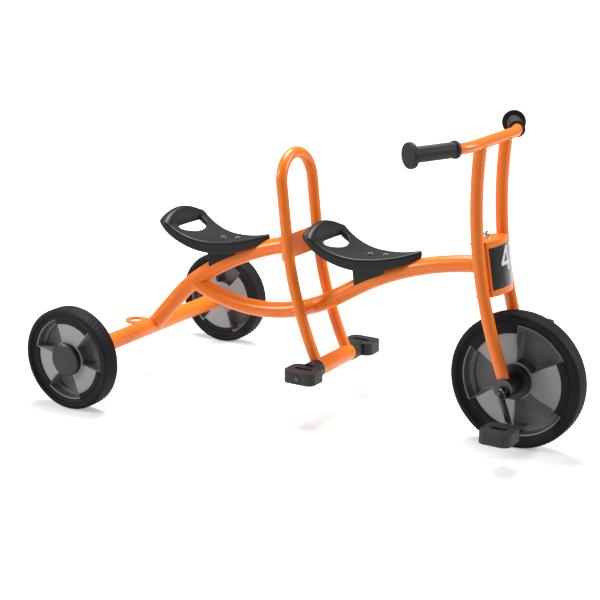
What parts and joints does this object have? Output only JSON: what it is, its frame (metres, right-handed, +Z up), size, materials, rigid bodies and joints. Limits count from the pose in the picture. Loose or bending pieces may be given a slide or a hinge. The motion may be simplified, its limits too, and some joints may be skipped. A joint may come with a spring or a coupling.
{
  "type": "tandem tricycle",
  "caption": "Children's tandem tricycle: bent tube frame, two moulded saddles in line, hoop handle with foot pegs, steered front wheel with direct pedals, rear wheels on one axle.",
  "frame": {"origin": "on the floor, in the middle plane, below the middle of the overall length from the rear tyres' back to the front tyre's front; the tow eye stays within the rear tyres' length", "axes": "+X forward, +Y the rider's left, +Z up"},
  "size_m": [1.144, 0.621, 0.6305],
  "materials": {
    "orange_paint": "glossy orange powder coat",
    "saddle_black": "satin black moulded plastic",
    "pedal_black": "matte black moulded plastic",
    "grip_rubber": "matte black rubber",
    "tyre_rubber": "matte black solid rubber tyre",
    "rim_grey": "satin grey moulded plastic",
    "hub_black": "satin black moulded plastic",
    "bush_plastic": "plain bearing plastic",
    "black_steel": "black coated steel",
    "zinc_steel": "zinc plated steel",
    "chrome_nut": "bright chrome",
    "label_black": "glossy black plate",
    "figure_white": "glossy pale grey figure"
  },
  "bodies": {
    "frame": {"rear_axle_tube": "orange_paint", "tow_eye": "orange_paint", "rear_arch_tube": "orange_paint", "main_tube": "orange_paint", "hoop_tube": "orange_paint", "hoop_bridge_plate": "orange_paint", "hoop_spacers": "orange_paint", "foot_tube": "orange_paint", "head_tube": "orange_paint", "upper_head_bush": "bush_plastic", "lower_head_bush": "bush_plastic", "front_seat": "saddle_black", "rear_seat": "saddle_black", "front_seat_bracket": "saddle_black", "rear_seat_bracket": "saddle_black", "seat_screws": "zinc_steel", "right_foot_peg": "pedal_black", "left_foot_peg": "pedal_black", "foot_peg_bolts": "black_steel", "rear_axle_rod": "zinc_steel", "axle_tube_plugs": "bush_plastic", "rear_axle_nuts": "zinc_steel"},
    "fork": {"right_fork_tube": "orange_paint", "left_fork_tube": "orange_paint", "head_front_plate": "orange_paint", "head_top_plate": "orange_paint", "head_bottom_plate": "orange_paint", "number_plate": "label_black", "number_figure": "figure_white", "handlebar": "orange_paint", "right_grip": "grip_rubber", "left_grip": "grip_rubber", "steering_bolt": "zinc_steel", "steering_cap_nut": "chrome_nut", "steering_washers": "zinc_steel", "right_axle_housing": "black_steel", "left_axle_housing": "black_steel", "axle_housing_bushes": "bush_plastic"},
    "front_wheel": {"front_tyre": "tyre_rubber", "front_rim": "rim_grey", "right_hub_flange": "hub_black", "left_hub_flange": "hub_black", "crank_axle": "black_steel"},
    "right_pedal": {"right_pedal": "pedal_black", "right_pedal_cap": "hub_black"},
    "left_pedal": {"left_pedal": "pedal_black", "left_pedal_cap": "hub_black"},
    "right_rear_wheel": {"right_rear_tyre": "tyre_rubber", "right_rear_rim": "rim_grey", "right_hub_cap": "hub_black", "right_wheel_bushes": "bush_plastic"},
    "left_rear_wheel": {"left_rear_tyre": "tyre_rubber", "left_rear_rim": "rim_grey", "left_hub_cap": "hub_black", "left_wheel_bushes": "bush_plastic"}
  },
  "joints": [
    {"name": "steering", "type": "hinge", "parent": "frame", "child": "fork", "pos_m": [0.36284, 0, 0.36], "axis": [-0.1564, 0, 0.9877], "range_deg": [-60, 60]},
    {"name": "front_wheel_spin", "type": "hinge", "parent": "fork", "child": "front_wheel", "pos_m": [0.434, 0, 0.138], "axis": [0, 1, 0], "continuous": true},
    {"name": "right_pedal_spin", "type": "hinge", "parent": "front_wheel", "child": "right_pedal", "pos_m": [0.45863, -0.1375, 0.07034], "axis": [0, 1, 0], "continuous": true},
    {"name": "left_pedal_spin", "type": "hinge", "parent": "front_wheel", "child": "left_pedal", "pos_m": [0.40937, 0.1375, 0.20566], "axis": [0, 1, 0], "continuous": true},
    {"name": "right_rear_wheel_spin", "type": "hinge", "parent": "frame", "child": "right_rear_wheel", "pos_m": [-0.462, -0.2855, 0.11], "axis": [0, 1, 0], "continuous": true},
    {"name": "left_rear_wheel_spin", "type": "hinge", "parent": "frame", "child": "left_rear_wheel", "pos_m": [-0.462, 0.2855, 0.11], "axis": [0, 1, 0], "continuous": true}
  ]
}
